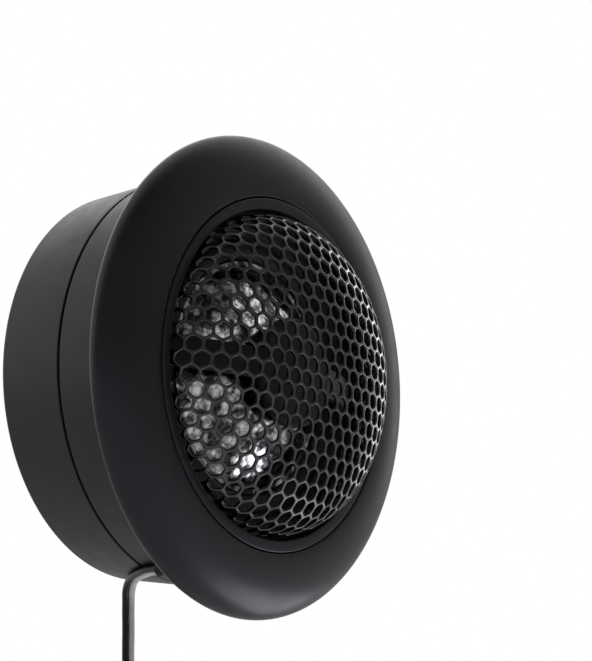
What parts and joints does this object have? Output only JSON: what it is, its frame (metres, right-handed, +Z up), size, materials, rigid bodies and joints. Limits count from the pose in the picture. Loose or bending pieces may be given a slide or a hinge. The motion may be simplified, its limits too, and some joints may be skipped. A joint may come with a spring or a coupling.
{
  "type": "car tweeter",
  "caption": "Round surface-mount car tweeter: tapered cup, wide rounded bezel, domed perforated grille over a metal dome, twin lead.",
  "frame": {"origin": "centre of the flat rear face of the cup, where it is stuck or screwed to a surface", "axes": "+Y out of the rear face along the tweeter's axis, so the grille faces -Y; +Z up, with the lead leaving at the bottom"},
  "size_m": [0.054, 0.0292, 0.0936],
  "materials": {
    "housing_plastic": "satin moulded, warm dark grey",
    "bezel_plastic": "satin black moulding",
    "mesh_black": "black painted perforated sheet",
    "inner_plastic": "fine matt black",
    "dome_foil": "bright metal foil",
    "surround_film": "soft black roll",
    "former_film": "amber film",
    "coil_copper": "enamelled copper winding",
    "motor_steel": "zinc plated",
    "magnet_nickel": "nickel plated",
    "felt_grey": "pressed felt",
    "foam_black": "closed cell foam",
    "terminal_brass": "bright",
    "tinned_wire": "tinned strands",
    "capacitor_sleeve": "shrink sleeve",
    "wire_black": "soft insulation, slight gloss",
    "wire_white": "soft insulation, slight gloss",
    "grommet_rubber": "matt",
    "screw_black": "black zinc"
  },
  "bodies": {
    "housing": {"rear_cup": "housing_plastic", "front_housing": "housing_plastic", "bezel_ring": "bezel_plastic", "grille_ring": "bezel_plastic", "grille_mesh": "mesh_black", "faceplate": "inner_plastic", "surround": "surround_film", "diaphragm_ring": "inner_plastic", "yoke_cup": "motor_steel", "magnet": "magnet_nickel", "pole_plate": "motor_steel", "damping_pad": "felt_grey", "chassis": "inner_plastic", "foam_gasket": "foam_black", "terminal_positive": "terminal_brass", "terminal_negative": "terminal_brass", "housing_screw_1": "screw_black", "housing_screw_2": "screw_black", "housing_screw_3": "screw_black", "capsule_screw_1": "screw_black", "capsule_screw_2": "screw_black", "capsule_screw_3": "screw_black", "capacitor": "capacitor_sleeve", "capacitor_lead_1": "tinned_wire", "capacitor_lead_2": "tinned_wire", "inner_wire_white": "wire_white", "inner_wire_black": "wire_black", "lead_grommet": "grommet_rubber", "lead_upper": "wire_black", "lead_coil": "wire_black", "lead_tie": "grommet_rubber", "lead_tail": "wire_black", "wire_end_black": "tinned_wire", "wire_end_white": "tinned_wire"},
    "diaphragm": {"dome_diaphragm": "dome_foil", "voice_coil_former": "former_film", "voice_coil": "coil_copper"}
  },
  "joints": [
    {"name": "diaphragm_travel", "type": "slide", "parent": "housing", "child": "diaphragm", "axis": [0, -1, 0], "range_m": [-0.0003, 0.0003], "stiffness_N_per_m": 500, "deforming": ["surround"]}
  ]
}
